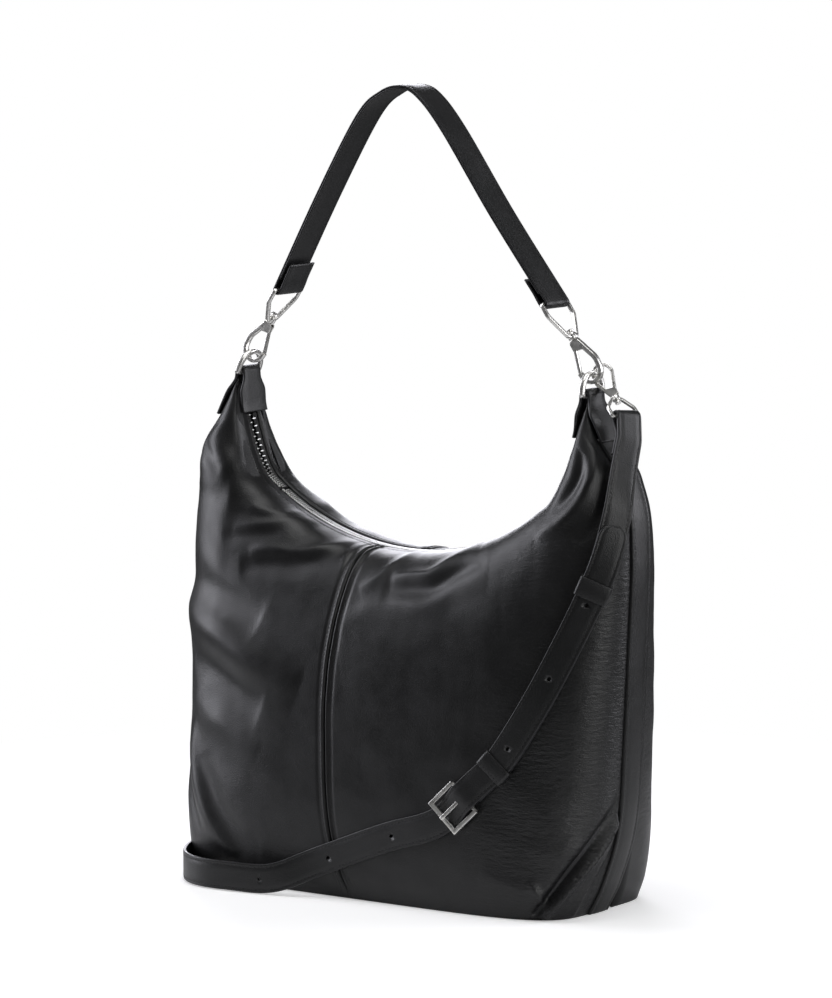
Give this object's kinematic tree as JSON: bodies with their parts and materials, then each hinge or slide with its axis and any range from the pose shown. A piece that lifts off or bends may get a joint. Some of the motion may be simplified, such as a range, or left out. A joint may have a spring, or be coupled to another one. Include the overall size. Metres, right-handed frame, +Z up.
{
  "type": "hobo bag",
  "caption": "Slouchy leather hobo bag with a hanging zip arc, a clip-on top handle and a buckled, clip-on shoulder strap.",
  "frame": {"origin": "centre of the base panel on the floor", "axes": "+Z up towards the handle, +X to the right seen from the front, -Y the front"},
  "size_m": [0.4149, 0.2285, 0.6214],
  "materials": {
    "bag_leather": "soft smooth black leather, satin",
    "strap_leather": "firm black leather with painted edges",
    "satin_nickel": "satin nickel",
    "zip_metal": "polished nickel",
    "zip_tape": "woven black tape",
    "lining": "woven lining",
    "stiffener": "matt board"
  },
  "bodies": {
    "bag": {"base_panel": "bag_leather", "base_board": "stiffener", "lining_base": "lining", "front_left_panel": "bag_leather", "front_right_panel": "bag_leather", "back_left_panel": "bag_leather", "back_right_panel": "bag_leather", "side_strip_left": "strap_leather", "side_strip_right": "strap_leather", "lining_front": "lining", "lining_back": "lining", "inner_pocket": "lining", "zip_end_left": "zip_metal", "zip_end_right": "zip_metal", "tab_left": "strap_leather", "tab_right": "strap_leather", "strap_short": "strap_leather", "strap_long": "strap_leather", "fixed_keeper": "strap_leather", "eye_near": "satin_nickel"},
    "front_lip": {"front_mouth_edge": "bag_leather", "front_zip_tape": "zip_tape", "front_zip_teeth": "zip_metal"},
    "back_lip": {"back_mouth_edge": "bag_leather", "back_zip_tape": "zip_tape", "back_zip_teeth": "zip_metal"},
    "slider": {"zip_slider": "zip_metal"},
    "puller": {"zip_puller": "zip_metal"},
    "ring_left": {"ring_left": "satin_nickel"},
    "ring_right": {"ring_right": "satin_nickel"},
    "handle": {"handle_outer": "strap_leather", "handle_inner": "strap_leather", "eye_left": "satin_nickel", "eye_right": "satin_nickel"},
    "eye_far": {"eye_far": "satin_nickel"},
    "buckle": {"buckle_frame": "satin_nickel"},
    "tongue": {"buckle_tongue": "satin_nickel"},
    "loose_keeper": {"loose_keeper": "strap_leather"},
    "hook_left": {"hook_left": "satin_nickel", "gate_pin_left": "satin_nickel"},
    "gate_left": {"gate_left": "satin_nickel"},
    "hook_right": {"hook_right": "satin_nickel", "gate_pin_right": "satin_nickel"},
    "gate_right": {"gate_right": "satin_nickel"},
    "hook_near": {"hook_near": "satin_nickel", "gate_pin_near": "satin_nickel"},
    "gate_near": {"gate_near": "satin_nickel"},
    "hook_far": {"hook_far": "satin_nickel", "gate_pin_far": "satin_nickel"},
    "gate_far": {"gate_far": "satin_nickel"}
  },
  "joints": [
    {"name": "mouth_front_open", "type": "hinge", "parent": "bag", "child": "front_lip", "pos_m": [0, 0, 0.31], "axis": [-1, 0, 0], "range_deg": [0, 25]},
    {"name": "mouth_back_open", "type": "hinge", "parent": "bag", "child": "back_lip", "pos_m": [0, 0, 0.31], "axis": [1, 0, 0], "range_deg": [0, 25]},
    {"name": "zip_slide", "type": "hinge", "parent": "bag", "child": "slider", "pos_m": [0, 0, 0.484], "axis": [0, 1, 0], "range_deg": [0, 73.6]},
    {"name": "zip_pull_flip", "type": "hinge", "parent": "slider", "child": "puller", "pos_m": [0.13016, 0, 0.30837], "axis": [0, 1, 0], "range_deg": [0, 140]},
    {"name": "ring_left_swing", "type": "hinge", "parent": "bag", "child": "ring_left", "pos_m": [-0.1615, 0, 0.392], "axis": [0, 1, 0], "range_deg": [-5, 2]},
    {"name": "ring_right_swing", "type": "hinge", "parent": "bag", "child": "ring_right", "pos_m": [0.1615, 0, 0.392], "axis": [0, 1, 0], "range_deg": [0, 2]},
    {"name": "handle_swing", "type": "hinge", "parent": "bag", "child": "handle", "pos_m": [0.00282, 0, 0.408], "axis": [1, 0, 0.0031], "range_deg": [-30, 0]},
    {"name": "hook_left_swivel", "type": "hinge", "parent": "handle", "child": "hook_left", "pos_m": [-0.15586, 0, 0.4075], "axis": [0.5592, 0, 0.829], "range_deg": [-8, 4]},
    {"name": "gate_left_open", "type": "hinge", "parent": "hook_left", "child": "gate_left", "pos_m": [-0.13995, 0, 0.42645], "axis": [0, 1, 0], "range_deg": [0, 16], "stiffness_Nm_per_rad": 0.02, "springref_deg": -20.05},
    {"name": "hook_right_swivel", "type": "hinge", "parent": "handle", "child": "hook_right", "pos_m": [0.1615, 0, 0.4085], "axis": [-0.5592, 0, 0.829], "range_deg": [-4, 4]},
    {"name": "gate_right_open", "type": "hinge", "parent": "hook_right", "child": "gate_right", "pos_m": [0.14559, 0, 0.42744], "axis": [0, -1, 0], "range_deg": [0, 16], "stiffness_Nm_per_rad": 0.02, "springref_deg": -20.05},
    {"name": "hook_near_swivel", "type": "hinge", "parent": "bag", "child": "hook_near", "pos_m": [0.164, 0.0089, 0.4081], "axis": [0.6592, -0.2197, -0.7191], "range_deg": [0, 2]},
    {"name": "gate_near_open", "type": "hinge", "parent": "hook_near", "child": "gate_near", "pos_m": [0.17887, 0.00527, 0.39479], "axis": [0.1487, -0.8994, 0.4111], "range_deg": [0, 16], "stiffness_Nm_per_rad": 0.0164, "springref_deg": -20.05},
    {"name": "hook_far_swivel", "type": "hinge", "parent": "eye_far", "child": "hook_far", "pos_m": [0.116, 0.111, 0.0064], "axis": [-0.9798, 0, 0.2], "range_deg": [-25, 25]},
    {"name": "gate_far_open", "type": "hinge", "parent": "hook_far", "child": "gate_far", "pos_m": [0.09624, 0.11313, 0.01043], "axis": [-0.2, 0, -0.9798], "range_deg": [0, 16], "stiffness_Nm_per_rad": 0.0164, "springref_deg": -20.05},
    {"name": "far_eye_turn", "type": "hinge", "parent": "bag", "child": "eye_far", "pos_m": [0.07382, 0.111, 0.01501], "axis": [0.2, 0, 0.9798], "range_deg": [0, 20]},
    {"name": "buckle_tilt", "type": "hinge", "parent": "bag", "child": "buckle", "pos_m": [0.10312, -0.0839, 0.09137], "axis": [-0.7348, -0.0429, 0.6769], "range_deg": [0, 12]},
    {"name": "tongue_lift", "type": "hinge", "parent": "buckle", "child": "tongue", "pos_m": [0.10312, -0.0839, 0.09137], "axis": [-0.7348, -0.0429, 0.6769], "range_deg": [0, 60]},
    {"name": "keeper_slide", "type": "slide", "parent": "bag", "child": "loose_keeper", "axis": [-0.3588, -0.1826, -0.9154], "range_m": [-0.006, 0.004]}
  ],
  "couplings": [
    {"joint": "mouth_back_open", "follows": "mouth_front_open", "ratio": 1},
    {"joint": "zip_pull_flip", "follows": "zip_slide", "ratio": 1.85}
  ]
}
